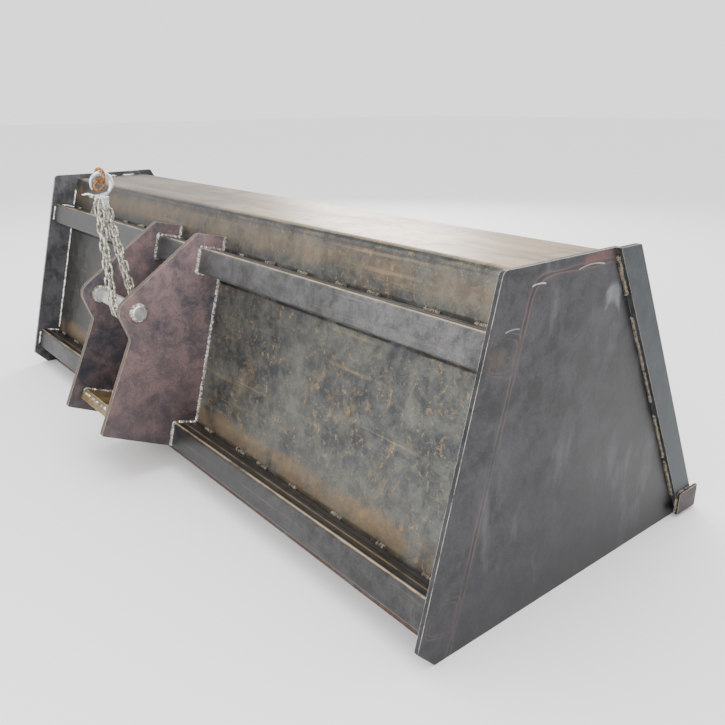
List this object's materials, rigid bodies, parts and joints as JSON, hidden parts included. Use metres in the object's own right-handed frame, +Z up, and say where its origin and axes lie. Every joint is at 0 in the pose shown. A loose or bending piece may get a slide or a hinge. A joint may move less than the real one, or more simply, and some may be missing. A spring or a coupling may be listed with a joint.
{
  "type": "loader bucket",
  "caption": "Welded steel loader bucket with box-tube stiffeners across its back, a central pair of notched hitch ears with a pin, and a chain sling looped round the pin.",
  "frame": {"origin": "middle of the footprint, on the surface the bucket rests on", "axes": "+X along the width to the right as seen from behind, +Y forward out of the mouth, +Z up"},
  "size_m": [1.8622, 0.9242, 0.6819],
  "materials": {
    "mill_scale_plate": "blue-grey mill scale",
    "rusted_sheet": "hot-rolled sheet with tan rust bloom",
    "tube_steel": "hot-rolled tube, burnished corners",
    "flame_cut_plate": "purple-brown mill scale, flame-cut edges",
    "wear_plate": "brown mill scale",
    "bright_steel": "turned and sawn bright steel",
    "zinc_plate": "dull zinc plate",
    "hook_finish": "bright silver paint",
    "rusty_link": "orange surface rust"
  },
  "bodies": {
    "bucket": {"shell_sheet": "rusted_sheet", "floor_sheet": "mill_scale_plate", "cutting_edge": "wear_plate", "end_plate_left": "mill_scale_plate", "end_plate_right": "mill_scale_plate", "mouth_bar_left": "mill_scale_plate", "mouth_bar_right": "mill_scale_plate", "corner_plate_left": "wear_plate", "corner_plate_right": "wear_plate", "upper_tube": "tube_steel", "lower_tube": "tube_steel", "hitch_ear_left": "flame_cut_plate", "hitch_ear_right": "flame_cut_plate", "hitch_pin": "bright_steel", "shelf_plate": "flame_cut_plate", "shelf_bar": "flame_cut_plate"},
    "chain": {"chain_loop_left": "zinc_plate", "chain_loop_right": "zinc_plate"},
    "hook": {"hook_body": "hook_finish", "load_pin": "zinc_plate", "latch_pin": "zinc_plate"},
    "latch": {"hook_latch": "zinc_plate"},
    "tag": {"rating_tag": "zinc_plate"},
    "upper_link": {"upper_link": "rusty_link"},
    "lower_link": {"lower_link": "rusty_link"}
  },
  "joints": [
    {"name": "chain_swing", "type": "hinge", "parent": "bucket", "child": "chain", "pos_m": [-0.013, -0.35088, 0.38397], "axis": [1, 0, 0], "range_deg": [-35, 140]},
    {"name": "hook_tilt", "type": "hinge", "parent": "chain", "child": "hook", "pos_m": [-0.013, -0.37271, 0.604], "axis": [1, 0, 0], "range_deg": [-35, 35]},
    {"name": "latch_swing", "type": "hinge", "parent": "hook", "child": "latch", "pos_m": [-0.013, -0.39121, 0.624], "axis": [1, 0, 0], "range_deg": [-20, 10]},
    {"name": "tag_swing", "type": "hinge", "parent": "hook", "child": "tag", "pos_m": [-0.036, -0.37271, 0.604], "axis": [1, 0, 0], "range_deg": [-30, 30]},
    {"name": "upper_link_swing", "type": "hinge", "parent": "hook", "child": "upper_link", "pos_m": [-0.013, -0.37071, 0.67], "axis": [0, 1, 0], "range_deg": [-12, 12]},
    {"name": "lower_link_swing", "type": "hinge", "parent": "upper_link", "child": "lower_link", "pos_m": [-0.013, -0.37071, 0.651], "axis": [1, 0, 0], "range_deg": [-8, 8]}
  ]
}
